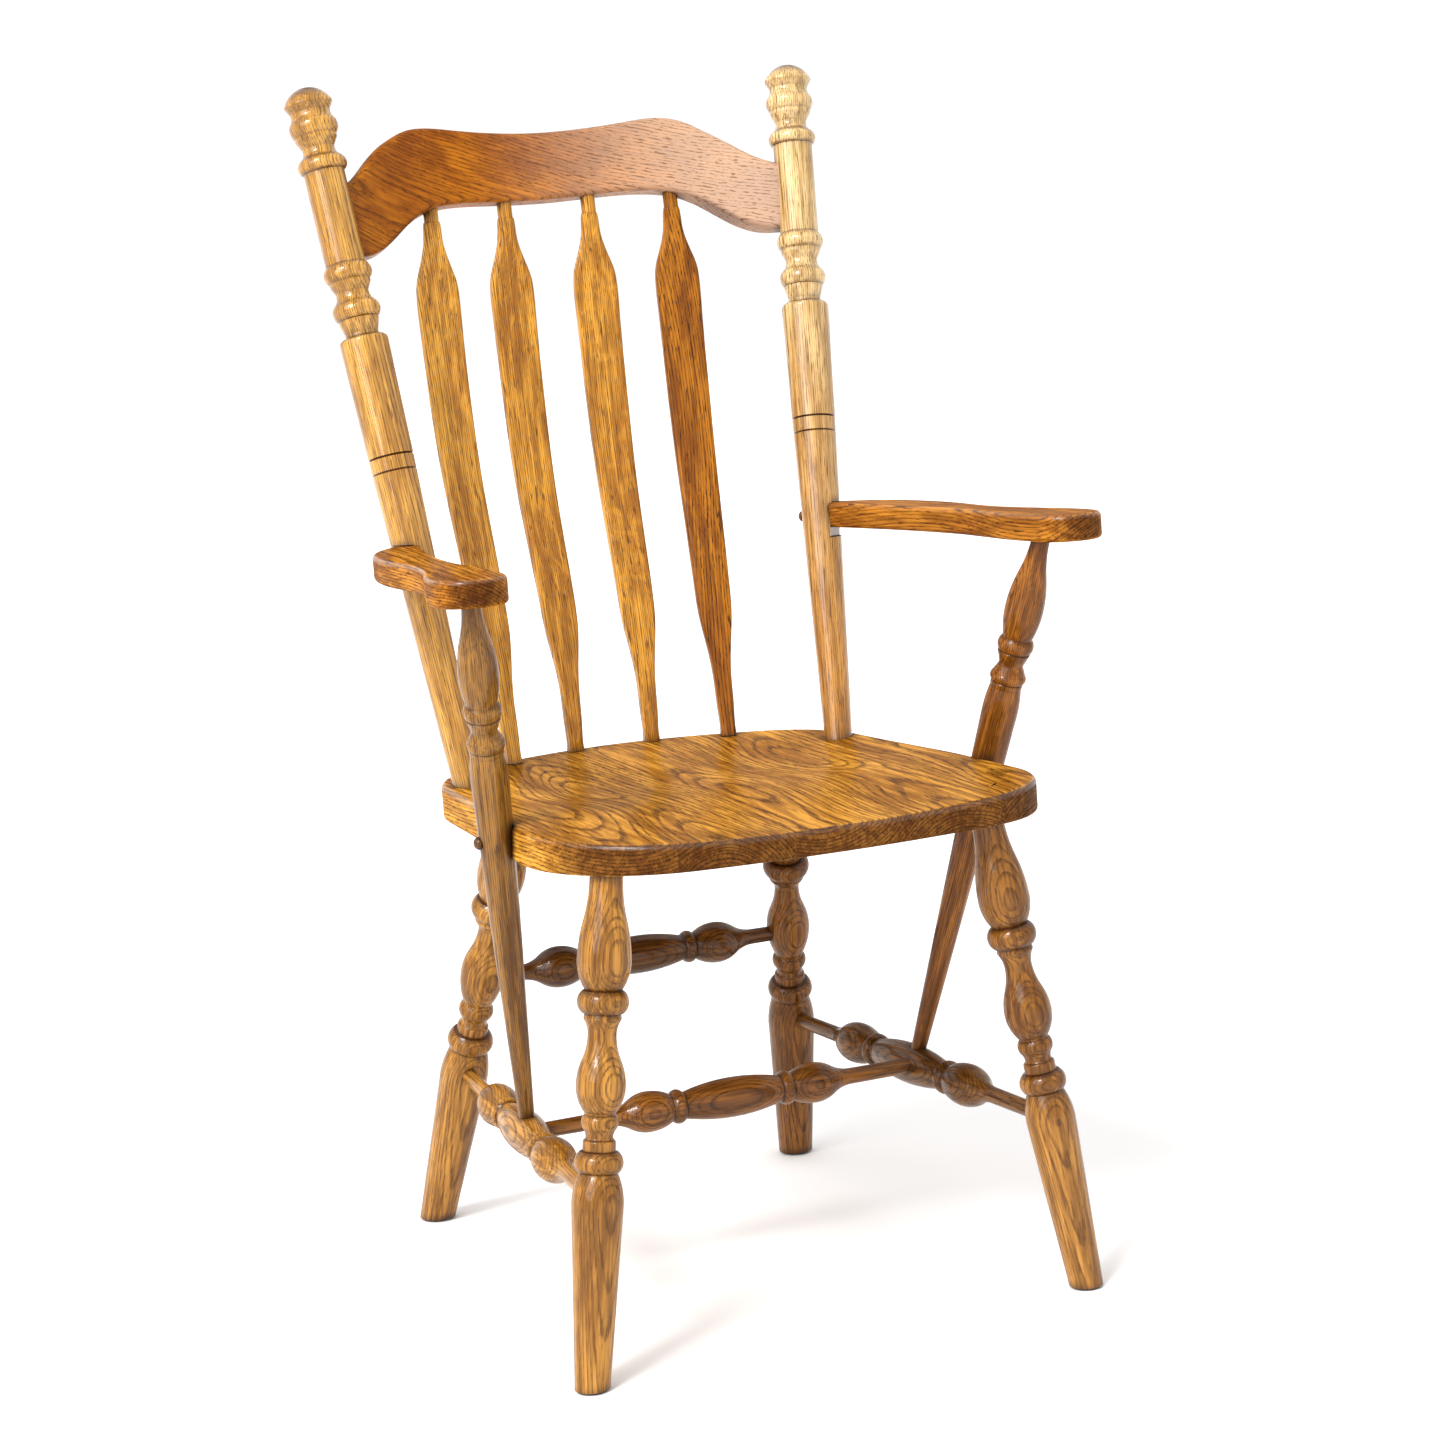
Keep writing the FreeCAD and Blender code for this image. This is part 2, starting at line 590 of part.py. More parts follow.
RAIL_UP = Vector(0, math.sin(lean), math.cos(lean))
SPINDLES = (("1", -1, "outer", 12.0), ("2", -1, "inner", 4.0),
            ("3", 1, "inner", 4.0), ("4", 1, "outer", 12.0))
spindle_pegs = {}
for number, s, kind, turn in SPINDLES:
    label = "arrow_spindle_" + number
    head_x = s * size(kind + "_spindle_head_x")
    sag = size("crest_bend_r") - math.sqrt(size("crest_bend_r") ** 2 - head_x ** 2)
    foot = at(s * size(kind + "_spindle_x"), size(kind + "_spindle_y"), seat_top)
    head = at(head_x, size("crest_y") - size("spindle_set") - sag, size("crest_z"))
    form, middle = spindle_form(label, kind, foot, head, s * math.radians(turn))
    low_run = (middle(0.02) - middle(0.0)).normalize()
    high_run = ((middle(0.975) - middle(0.95)).normalize() + RAIL_UP).normalize()
    neck = middle(0.975)
    peg_low = (foot + low_run * 4, foot - low_run * 22)
    peg_high = (neck - high_run * 4, neck + high_run * 28)
    spindle_pegs[number] = (peg_low, peg_high)
    parts[label] = joined(label, [
        form, rod(label + "_foot_peg", *peg_low, size("spindle_peg_r") - 0.6),
        rod(label + "_head_peg", *peg_high, size("spindle_peg_r"))])

parts["crest_rail"] = cut("crest_rail", crest_soft, [
    rod("crest_mortise_" + n, high[0], high[1] + (high[1] - high[0]).normalize() * 1.0,
        size("spindle_peg_r") + fit) for n, (low, high) in spindle_pegs.items()])

# ---------------------------------------------------------------- back posts
POST_STATIONS = [
    ("0", "post_foot_r - 1.5", "line"), ("1.5", "post_foot_r", "line"),
    ("post_tenon", "post_foot_r", "line"),
]


def up(drop):
    """Height on a post given as a distance below the dome rim."""
    return "post_tenon + %g" % (POST_LONG - drop)


rim, post_foot = axes["post", "right"]
POST_LONG = rim.distanceToPoint(post_foot)
GROOVES = (342.4, 328.5)
for drop in GROOVES:
    swell = "post_groove_r + %g" % (0.35 if drop < 335 else 0.0)
    POST_STATIONS += [(up(drop + 1.0), swell, "line"), (up(drop), "post_groove_r - 1.0", "line"),
                      (up(drop - 1.0), swell + " + 0.05", "line")]
POST_STATIONS += [
    (up(221.8), "post_shoulder_r", "swell"), (up(217.0), "post_shoulder_r - 4.0", "line"),
    (up(216.2), "post_neck_r + 0.6", "line"), (up(213.4), "post_neck_r + 0.5", "line"),
    (up(203.4), "post_r - 0.5", "line"), (up(200.6), "post_r - 0.3", "line"),
    (up(199.9), "post_ring_r - 3.4", "land"), (up(192.6), "post_bulb_r - 0.6", "ogee"),
    (up(177.2), "post_neck_r + 0.3", "line"), (up(175.6), "post_neck_r + 0.3", "line"),
    (up(168.4), "post_r", "line"), (up(165.6), "post_r + 0.3", "line"),
    (up(164.9), "post_ring_r - 3.2", "land"), (up(158.6), "post_ring_r - 0.4", "swell"),
    (up(149.4), "post_r - 0.5", "line"), (up(148.6), "post_r - 0.2", "line"),
    (up(64.8), "post_r", "line"), (up(64.0), "post_r + 0.4", "land"),
    (up(57.6), "post_ring_r", "ogee"), (up(43.0), "post_neck_r", "line"),
    (up(41.2), "post_neck_r", "line"), (up(33.2), "post_ring_r - 3.4", "line"),
    (up(30.8), "post_ring_r - 3.2", "line"), (up(30.2), "post_bulb_r - 2.8", "land"),
    (up(22.4), "post_bulb_r", "ogee"), (up(9.4), "post_rim_r - 4.2", "line"),
    (up(8.2), "post_rim_r - 4.2", "line"), (up(1.4), "post_rim_r", "line"),
    (up(0.0), "post_rim_r", "cap"), (up(-size("post_dome")), "0", "line"),
]

ARM_FACE_TURN = math.radians(45.0)
FLAT_SHARE = 0.80
arm_mid_z = size("arm_top") - size("arm_thick") / 2


def post_face(side, s):
    """Centre and outward direction of the flat that receives an arm."""
    rim, foot = axes["post", side]
    middle = on_axis(rim, foot, arm_mid_z)
    out = Vector(s * math.cos(ARM_FACE_TURN), -math.sin(ARM_FACE_TURN), 0)
    return middle, out


def arm_housing(name, side, s):
    middle, out = post_face(side, s)
    box = doc.addObject("Part::Box", name)
    high = size("arm_thick") + 10.0
    box.Length, box.Width, box.Height = 40, 60, high
    turn = FreeCAD.Rotation(Vector(1, 0, 0), out)
    start = middle + out * (FLAT_SHARE * size("post_r") * 0.955)
    box.Placement = FreeCAD.Placement(
        start - turn.multVec(Vector(0, 30, 0)) - Vector(0, 0, size("arm_thick") / 2 + 9.0),
        turn)
    return box


screw_lines = {}
for side, s in SIDES:
    middle, out = post_face(side, s)
    screw_lines["arm", side] = (middle - Vector(0, 0, 1.0), out)
    top, foot = axes["arm_post", side]
    pin = on_axis(top, foot, seat_top - size("seat_thick") * 0.47)
    screw_lines["seat", side] = (pin, Vector(-s, 0.0, 0))


def screw_holes(name, key, depth, seat_r):
    """Clearance for a button and a screw: a wide bore from outside, then the shank bore."""
    middle, run = screw_lines[key]
    return [rod(name + "_button_bore", middle - run * 30, middle - run * (seat_r - 6.0),
                size("screw_head_r") + fit),
            rod(name + "_shank_bore", middle - run * 20, middle + run * depth,
                size("screw_shank_r") + fit)]


for side, s in SIDES:
    label = "back_post_" + side
    rim, foot = axes["post", side]
    run = (rim - foot).normalize()
    blank = turned(label, POST_STATIONS)
    blank.Placement = along(foot - run * size("post_tenon"), rim)
    tools = [parts["crest_rail"], arm_housing(label + "_arm_housing", side, s)]
    tools += screw_holes(label, ("arm", side), 40.0, 17.6)
    parts[label] = cut(label, blank, tools)

# ---------------------------------------------------------------- arm posts
ARM_POST_TENON = 13.0
top, foot = axes["arm_post", "right"]
ARM_POST_LONG = top.distanceToPoint(foot)


def below(drop):
    return "%g" % (ARM_POST_TENON + drop)


ARM_POST_STATIONS = [
    ("0", "arm_post_head_r - 1.6", "line"), (below(-0.2), "arm_post_head_r - 1.6", "line"),
    (below(0.0), "arm_post_head_r", "ogee"), (below(66.0), "arm_post_vase_r", "swell"),
    (below(92.4), "arm_post_ring_r - 3.0", "line"),
    (below(93.4), "arm_post_ring_r - 2.2", "land"), (below(99.6), "arm_post_ring_r", "swell"),
    (below(105.6), "arm_post_ring_r - 2.4", "line"), (below(106.6), "arm_post_ring_r - 1.6",
                                                     "line"),
    (below(116.6), "arm_post_neck_r", "line"), (below(118.6), "arm_post_neck_r", "line"),
    (below(125.4), "arm_post_ring_r - 1.8", "line"),
    (below(126.2), "arm_post_ring_r - 1.6", "land"), (below(130.0), "arm_post_ring_r", "swell"),
    (below(134.4), "arm_post_ring_r - 2.2", "line"),
    (below(135.2), "arm_post_ring_r - 1.7", "line"),
    (below(138.4), "arm_post_ring_r - 1.8", "line"), (below(139.2), "arm_post_low_r - 2.2",
                                                     "land"),
    (below(163.0), "arm_post_low_r", "line"), (below(290.0), "arm_post_low_r - 2.5", "line"),
    (below(ARM_POST_LONG), "arm_post_foot_r", "line"),
    (below(ARM_POST_LONG + 10.0), "arm_post_foot_r", "line"),
]
for side, s in SIDES:
    label = "arm_post_" + side
    top, foot = axes["arm_post", side]
    run = (foot - top).normalize()
    blank = turned(label, ARM_POST_STATIONS)
    blank.Placement = along(top - run * ARM_POST_TENON, foot)
    parts[label] = cut(label, blank, screw_holes(label, ("seat", side), 30.0, 14.9))

# ---------------------------------------------------------------- arms
# half outlines of the right arm seen from above, sitter side and outer side
ARM_INNER = ((213.5, 80), (227, 0), (233, -75), (231.5, -150), (234, -192))
ARM_OUTER = ((294.5, -186), (287, -149), (274, -102), (268.5, -58), (270, 5), (265.5, 62),
             (250, 118))
ARM_NOSE = ((242, -220), (267, -231.5), (289.5, -219))


def arm_body(side, s):
    label = "arm_" + side
    body = doc.addObject("PartDesign::Body", label + "_blank")
    sketch = flat_sketch(body, label + "_plan", "XY_Plane")
    middle, out = post_face(side, s)
    face = middle + out * (FLAT_SHARE * size("post_r") * 0.955 + 0.02)
    cross = Vector(out.y, -out.x, 0) * (-s)
    inner_end = face - cross * (-11.0)
    outer_end = face + cross * (-15.0)
    shift = size("shift_y")

    def run(points):
        return [Vector(s * x, y + shift, 0) for x, y in points]

    if inner_end.x * s > outer_end.x * s:
        inner_end, outer_end = outer_end, inner_end
    flat_in, flat_out = Vector(inner_end.x, inner_end.y, 0), Vector(outer_end.x, outer_end.y, 0)
    loop = [flat_in] + run(ARM_INNER) + run(ARM_NOSE) + run(ARM_OUTER) + [flat_out]
    edge = Part.BSplineCurve()
    edge.interpolate(loop)
    for curve in (edge, Part.LineSegment(flat_out, flat_in)):
        n = sketch.addGeometry(curve, False)
        sketch.addConstraint(Sketcher.Constraint("Block", n))
    pad = body.newObject("PartDesign::Pad", label + "_pad")
    pad.Profile = sketch
    pad.Length = size("arm_thick")
    pad.setExpression("Length", "Sizes.arm_thick")
    sketch.Visibility = False
    doc.recompute()
    soft = body.newObject("PartDesign::Fillet", label + "_soft")
    names = ["Edge%d" % i for i in long_edges(pad.Shape, 300.0)]
    soft.Base = (pad, names)
    soft.Radius = size("arm_round")
    soft.setExpression("Radius", "Sizes.arm_round")
    body.Placement.Base = Vector(0, 0, size("arm_top") - size("arm_thick"))
    return body


for side, s in SIDES:
    label = "arm_" + side
    top, foot = axes["arm_post", side]
    run = (foot - top).normalize()
    middle, out = screw_lines["arm", side]
    parts[label] = cut(label, arm_body(side, s), [
        rod(label + "_post_mortise", top + run * 20, top - run * (ARM_POST_TENON + 1.0),
            size("arm_post_head_r") - 1.5),
        rod(label + "_screw_bore", middle, middle + out * 41.0, size("screw_shank_r") + fit)])


# ---------------------------------------------------------------- seat
def seat_blank():
    body = doc.addObject("PartDesign::Body", "seat_blank")
    sketch = flat_sketch(body, "seat_plan", "XY_Plane")
    front, back = -size("seat_front"), size("seat_back")
    hl, hr, hb = size("seat_half_left"), size("seat_half_right"), size("seat_half_back")
    fy, by = -size("seat_front_reach"), size("seat_back_reach")

    def bow(left, right, y, tip):
        a, b = Vector(-left, y, 0), Vector(right, y, 0)
        return arc_between(a, b, Part.Circle(a, Vector(0, tip, 0), b).Center)

    rear, r0, r1 = bow(hb, hb, by, back)
    fore, f0, f1 = bow(hl, hr, fy, front)
    for piece in (fore, Part.LineSegment(Vector(hr, fy, 0), Vector(hb, by, 0)), rear,
                  Part.LineSegment(Vector(-hb, by, 0), Vector(-hl, fy, 0))):
        sketch.addGeometry(piece, False)
    C = Sketcher.Constraint
    sketch.addConstraint([C("Coincident", 0, f1, 1, 1), C("Coincident", 1, 2, 2, r1),
                          C("Coincident", 2, r0, 3, 1), C("Coincident", 3, 2, 0, f0)])
    for line, end, x, y, wx, wy in (
            (1, 1, hr, fy, "seat_half_right", "0 - seat_front_reach"),
            (1, 2, hb, by, "seat_half_back", "seat_back_reach"),
            (3, 1, -hb, by, "0 - seat_half_back", "seat_back_reach"),
            (3, 2, -hl, fy, "0 - seat_half_left", "0 - seat_front_reach")):
        n = sketch.addConstraint(C("DistanceX", -1, 1, line, end, x))
        drive(sketch, n, wx)
        n = sketch.addConstraint(C("DistanceY", -1, 1, line, end, y))
        drive(sketch, n, wy)
    sketch.addConstraint([C("Radius", 0, fore.Radius), C("Radius", 2, rear.Radius)])
    pad = body.newObject("PartDesign::Pad", "seat_pad")
    pad.Profile = sketch
    pad.Length = size("seat_thick")
    pad.setExpression("Length", "Sizes.seat_thick")
    sketch.Visibility = False
    doc.recompute()
    base = pad
    for word, corners in (("seat_corner_left", ((-hl, fy),)), ("seat_corner_right", ((hr, fy),)),
                          ("seat_back_corner", ((-hb, by), (hb, by)))):
        names = []
        for i, e in enumerate(base.Shape.Edges):
            box = e.BoundBox
            if any(abs(box.XMin - x) + abs(box.XMax - x) + abs(box.YMin - y)
                   + abs(box.YMax - y) < 0.1 for x, y in corners):
                names.append("Edge%d" % (i + 1))
        soft = body.newObject("PartDesign::Fillet", word + "_round")
        soft.Base = (base, names)
        soft.Radius = size(word)
        soft.setExpression("Radius", "Sizes." + word)
        doc.recompute()
        base = soft
    body.Placement.Base = Vector(0, size("shift_y"), seat_under)
    return body


def saddle_height(x, y):
    """Top of the seat above the floor at a plan position."""
    deep, hx, hy = size("hollow_deep"), size("hollow_x"), size("hollow_y")
    wide, long_ = size("hollow_wide"), size("hollow_long")
    hollow = 0.0
    for s in (-1, 1):
        u, v = (x - s * hx) / wide, (y - hy) / long_
        hollow += deep * math.exp(-(u * u + v * v) ** 1.25)
    ease = min(1.0, max(0.0, (-y - 40.0) / 215.0))
    ease = ease * ease * (3 - 2 * ease)
    fall = size("front_fall") * ease * (1 - 0.62 * (x / 215.0) ** 2)
    pommel = 2.4 * math.exp(-(x / 34.0) ** 2) * math.exp(-((y + 175.0) / 85.0) ** 2)
    return seat_top - hollow - fall + pommel


def saddle_tool():
    """Freeform solid above the dished seat surface."""
    steps_x, steps_y = 28, 32
    rows = []
    for i in range(steps_x + 1):
        x = -260 + 520 * i / steps_x
        rows.append([at(x, -300 + 580 * j / steps_y,
                        saddle_height(x, -300 + 580 * j / steps_y))
                     for j in range(steps_y + 1)])
    surface = Part.BSplineSurface()
    surface.interpolate(rows)
    tool = doc.addObject("Part::Feature", "saddle_tool")
    tool.Shape = surface.toShape().extrude(Vector(0, 0, 60))
    return tool


dished = cut("seat_dished", seat_blank(), [saddle_tool()])
doc.recompute()
top_ring = [i + 1 for i, e in enumerate(dished.Shape.Edges)
            if e.BoundBox.ZMin > seat_under + 12 and e.BoundBox.ZLength < 14]
under_ring = [i + 1 for i, e in enumerate(dished.Shape.Edges)
              if e.BoundBox.ZMax < seat_under + 1]
seat_soft = doc.addObject("Part::Fillet", "seat_soft")
seat_soft.Base = dished
seat_soft.Edges = ([(i, size("seat_top_round"), size("seat_top_round")) for i in top_ring]
                   + [(i, size("seat_under_round"), size("seat_under_round"))
                      for i in under_ring])

tools = []
for side, s in SIDES:
    for kind in ("front", "rear"):
        top, foot = axes[kind, side]
        run = (foot - top).normalize()
        tools.append(rod("seat_%s_leg_%s" % (kind, side), top + run * 10,
                         top - run * (size("leg_tenon") + 1.0), size("leg_tenon_r") + fit))
    rim, foot = axes["post", side]
    run = (rim - foot).normalize()
    tools.append(rod("seat_post_" + side, foot + run * 8,
                     foot - run * (size("post_tenon") + 1.0), size("post_foot_r") + fit))
    top, foot = axes["arm_post", side]
    run = (foot - top).normalize()
    tools.append(rod("seat_arm_post_" + side, on_axis(top, foot, seat_top + 12),
                     on_axis(top, foot, seat_under - 12), 15.5))
    middle, out = screw_lines["seat", side]
    tools.append(rod("seat_screw_bore_" + side, middle, middle + out * 31.0,
                     size("screw_shank_r") + fit))
for number, (low, high) in spindle_pegs.items():
    run = (low[1] - low[0]).normalize()
    tools.append(rod("seat_spindle_" + number, low[0], low[1] + run,
                     size("spindle_peg_r") - 0.6 + fit))
parts["seat"] = cut("seat", seat_soft, tools)


# ---------------------------------------------------------------- screws and buttons
def fixing(place, side, seat_r, depth):
    middle, run = screw_lines[place, side]
    label = "%s_screw_%s" % (place, side)
    head = seat_r - 6.2
    screw = turned(label, [
        ("0", "screw_head_r - 0.1", "line"), ("2.4", "screw_shank_r", "line"),
        ("%g" % (head + depth - 5.0), "screw_shank_r - 0.2", "line"),
        ("%g" % (head + depth - 1.0), "0.5", "line")])
    screw.Placement = along(middle - run * head, middle)
    screw.Label = label
    parts[label] = screw
    label = "%s_button_%s" % (place, side)
    button = turned(label, [
        ("0", "screw_head_r - 0.1", "line"), ("5.6", "screw_head_r - 0.1", "line"),
        ("6.4", "button_r", "line"), ("7.2", "button_r", "cap"), ("6.6 + button_high", "0",
                                                                  "line")])
    button.Placement = along(middle - run * (head + 0.1), middle - run * (head + 20))
    button.Label = label
    parts[label] = button


for side, s in SIDES:
    fixing("arm", side, 17.6, 38.0)
    fixing("seat", side, 14.9, 30.0)

# ---------------------------------------------------------------- finish
doc.recompute()
faults = [(o.Name, o.State) for o in doc.Objects
          if "Invalid" in o.State or "Error" in o.State]
for o, state in faults:
    print("FAULT", o, state)
total = None
for label, piece in parts.items():
    shape = piece.Shape
    if shape.isNull() or not shape.isValid() or not shape.Solids:
        raise SystemExit("bad shape " + label)
    box = shape.BoundBox
    total = box if total is None else total.united(box)
    shape.exportStep("parts/%s.step" % label)
    print("%-26s %9.1f mm3  solids %d" % (label, shape.Volume, len(shape.Solids)))
print("box x %.2f %.2f y %.2f %.2f z %.2f %.2f" % (total.XMin, total.XMax, total.YMin,
                                                   total.YMax, total.ZMin, total.ZMax))
if faults:
    raise SystemExit("document has faults")
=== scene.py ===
import math

import bpy
import numpy as np
from mathutils import Matrix, Vector

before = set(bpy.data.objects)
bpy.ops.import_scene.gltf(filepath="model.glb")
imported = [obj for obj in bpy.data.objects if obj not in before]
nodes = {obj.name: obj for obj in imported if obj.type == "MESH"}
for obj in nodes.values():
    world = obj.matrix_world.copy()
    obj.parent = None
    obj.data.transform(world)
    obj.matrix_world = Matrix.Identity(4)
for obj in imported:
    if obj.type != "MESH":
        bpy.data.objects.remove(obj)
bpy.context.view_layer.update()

# Turned oak armchair.  Metres, +Z up, the sitter faces -Y.  The wood is a solid figure: each
# piece is cut from a log of its own, whose rings, pores and rays are worked out in 3-D.

SIDES = (("left", -1), ("right", 1))
MM = 0.001
WHITE = (1.0, 1.0, 1.0)


# ---------------------------------------------------------------- shader node helpers
class Web:
    """Short names for adding nodes to one shader tree.  Values are numbers or sockets."""

    def __init__(self, tree):
        self.tree = tree

    def add(self, kind, **settings):
        node = self.tree.nodes.new(kind)
        for name, value in settings.items():
            setattr(node, name, value)
        return node

    def feed(self, socket, value):
        if isinstance(value, bpy.types.NodeSocket):
            self.tree.links.new(value, socket)
        elif value is not None:
            socket.default_value = value

    def math(self, operation, a, b=None, c=None):
        node = self.add("ShaderNodeMath", operation=operation)
        for socket, value in zip(node.inputs, (a, b, c)):
            self.feed(socket, value)
        return node.outputs[0]

    def sum(self, a, b):
        return self.math("ADD", a, b)

    def less(self, a, b):
        return self.math("SUBTRACT", a, b)

    def times(self, a, b):
        return self.math("MULTIPLY", a, b)

    def swing(self, value, reach):
        """A 0..1 value turned into -reach/2..reach/2."""
        return self.math("MULTIPLY_ADD", value, reach, -0.5 * reach)

    def step(self, value, low, high, start=0.0, end=1.0):
        node = self.add("ShaderNodeMapRange", interpolation_type="SMOOTHSTEP")
        for socket, item in zip(node.inputs, (value, low, high, start, end)):
            self.feed(socket, item)
        return node.outputs[0]

    def xyz(self, x, y, z):
        node = self.add("ShaderNodeCombineXYZ")
        for socket, value in zip(node.inputs, (x, y, z)):
            self.feed(socket, value)
        return node.outputs[0]

    def split(self, vector):
        node = self.add("ShaderNodeSeparateXYZ")
        self.feed(node.inputs[0], vector)
        return node.outputs[0], node.outputs[1], node.outputs[2]

    def scaled(self, vector, scale):
        node = self.add("ShaderNodeVectorMath", operation="MULTIPLY")
        self.feed(node.inputs[0], vector)
        self.feed(node.inputs[1], scale)
        return node.outputs[0]

    def noise(self, vector, detail=2.0, rough=0.5):
        node = self.add("ShaderNodeTexNoise", noise_dimensions="3D", normalize=True)
        self.feed(node.inputs["Vector"], vector)
        node.inputs["Scale"].default_value = 1.0
        node.inputs["Detail"].default_value = detail
        node.inputs["Roughness"].default_value = rough
        return node.outputs[0]

    def bump(self, socket, height, strength, depth):
        node = self.add("ShaderNodeBump")
        node.inputs["Strength"].default_value = strength
        node.inputs["Distance"].default_value = depth
        self.feed(node.inputs["Height"], height)
        self.feed(socket, node.outputs[0])

    def finish(self, shader):
        output = self.add("ShaderNodeOutputMaterial")
        self.feed(output.inputs[0], shader.outputs[0])

    def mix(self, share, a, b, blend="MIX"):
        node = self.add("ShaderNodeMix", data_type="RGBA", blend_type=blend)
        self.feed(node.inputs[0], share)
        self.feed(node.inputs[6], a)
        self.feed(node.inputs[7], b)
        return node.outputs[2]


def rgba(colour):
    return (*colour, 1.0)


def new_material(name):
    """An empty shader tree, as its material, its helper and its coordinates."""
    material = bpy.data.materials.new(name)
    material.use_nodes = True
    tree = material.node_tree
    tree.nodes.clear()
    web = Web(tree)
    return material, web, web.add("ShaderNodeTexCoord").outputs


# ---------------------------------------------------------------- the oak figure
# how often each kind of noise repeats per metre, across the grain and along it
WAVES = (11.0, 11.0, 3.4)
SHAKES = (90.0, 90.0, 16.0)
VESSELS = (600.0, 600.0, 50.0)
FINE_VESSELS = (1100.0, 1100.0, 110.0)
FIBRES = (420.0, 420.0, 11.0)
CLOUDS = (26.0, 26.0, 7.0)
STREAKS = (190.0, 190.0, 13.0)
RAY_TURNS, RAY_DEPTHS, RAY_HEIGHTS = 70.0, 34.0, 46.0
SHAKE_REACH = 1.0 * MM
RING_UNEVEN = 1.6
PORE_BAR = 0.635
EARLY_EXTRA = 0.16


def figure_group():
    """Rings, pores, rays and fibres at a point of a log.  In the log's own frame the pith is
    the Z axis, and lengths are metres."""
    group = bpy.data.node_groups.new("oak_figure", "ShaderNodeTree")
    face = group.interface
    face.new_socket("Log", in_out="INPUT", socket_type="NodeSocketVector")
    face.new_socket("Ring", in_out="INPUT", socket_type="NodeSocketFloat")
    face.new_socket("Wave", in_out="INPUT", socket_type="NodeSocketFloat")
    for name in ("Early", "Pores", "Rays", "Fibre", "Cloud", "Streak"):
        face.new_socket(name, in_out="OUTPUT", socket_type="NodeSocketFloat")
    web = Web(group)
    given = web.add("NodeGroupInput")
    out = web.add("NodeGroupOutput")
    log, ring, wave = given.outputs[:3]
    x, y, z = web.split(log)

    # the rings, with slow waves in depth and a little shake on each line
    slow = web.noise(web.scaled(log, WAVES), 2.0)
    shake = web.noise(web.scaled(log, SHAKES), 1.0)
    radius = web.math("SQRT", web.sum(web.times(x, x), web.times(y, y)))
    drift = web.times(web.less(slow, 0.5), wave)
    radius = web.sum(web.sum(radius, drift), web.swing(shake, SHAKE_REACH))
    count = web.math("DIVIDE", radius, ring)
    width = web.noise(web.xyz(web.times(count, 0.45), 3.7, 1.3), 1.0)
    count = web.sum(count, web.swing(width, RING_UNEVEN))
    share = web.math("FRACT", count)
    early = web.times(web.step(share, 0.0, 0.08), web.step(share, 0.16, 0.50, 1.0, 0.0))

    # pores: long thin vessels, crowded in the early wood
    coarse = web.noise(web.scaled(log, VESSELS), 1.0, 0.6)
    small = web.noise(web.scaled(log, FINE_VESSELS), 1.0, 0.6)
    bar = web.math("MULTIPLY_ADD", early, -EARLY_EXTRA, PORE_BAR)
    dashes = web.step(coarse, bar, web.sum(bar, 0.10))
    specks = web.step(small, web.sum(bar, 0.02), web.sum(bar, 0.13))
    pores = web.math("MAXIMUM", dashes, web.times(specks, 0.6))

    # rays: thin sheets that run out from the pith
    turn = web.times(web.math("ARCTAN2", y, x), RAY_TURNS)
    deep, high = web.times(radius, RAY_DEPTHS), web.times(z, RAY_HEIGHTS)
    sheets = web.noise(web.xyz(turn, deep, high), 1.0)
    rays = web.step(sheets, 0.60, 0.68)

    fibre = web.noise(web.scaled(log, FIBRES), 2.0, 0.6)
    cloud = web.noise(web.scaled(log, CLOUDS), 2.0)
    streak = web.noise(web.scaled(log, STREAKS), 2.0, 0.6)
    for socket, value in zip(out.inputs, (early, pores, rays, fibre, cloud, streak)):
        web.feed(socket, value)
    return group


FIGURE = figure_group()


class Oak:
    """Colours of one kind of piece, and how far each mark shows; some kinds are darker or paler
    copies that paint in shade or a highlight.
    ends: where end grain begins and is full, as the share of the grain in the normal.
    board: a flat board, which is worn duller than a turned piece."""

    def __init__(self, pale, deep, pore, ring_share, pore_share, gloss, ends=(0.42, 0.90),
                 board=False, streaks=1.0):
        self.pale, self.deep, self.pore = pale, deep, pore
        self.ring_share, self.pore_share, self.gloss = ring_share, pore_share, gloss
        self.ends, self.board, self.streaks = ends, board, streaks

    def toned(self, red, green, blue):
        scale = Vector((red, green, blue))
        colours = (scale * Vector(colour) for colour in (self.pale, self.deep, self.pore))
        return Oak(*colours, self.ring_share, self.pore_share, self.gloss, self.ends,
                   self.board, self.streaks)


# the dark colour of the board joints, and of the painted shade in creases and next to other parts
GLAZE_AND_SHADE = (0.030, 0.011, 0.004)
END_GRAIN = (0.30, 0.25, 0.30)
FIBRE_SHARE, RAY_SHARE, GLAZE_AND_SHADE_SHARE = 0.50, 0.20, 0.90
STREAK_DARK, STREAK_LIGHT = 0.70, 0.40
CREASE_REACH = 11 * MM
CREASE_FULL, CREASE_CLEAR = 0.42, 0.97
ROUGHNESS, PORE_ROUGHNESS, ROUGHNESS_SWING = 0.36, 0.25, 0.16
LEVEL_FROM, LEVEL_TO = 0.86, 0.985
SIDE_UP_TO, EDGE_FROM = 0.06, 0.34
BARE_SPECULAR = 0.04
COAT_ROUGHNESS, WORN_ROUGHNESS = 0.11, 0.26
LEVEL_COAT, LEVEL_BOARD_COAT, SIDE_COAT = 0.05, 0.14, 0.15
GRAIN_DEPTH, COAT_DEPTH = 0.25 * MM, 0.20 * MM


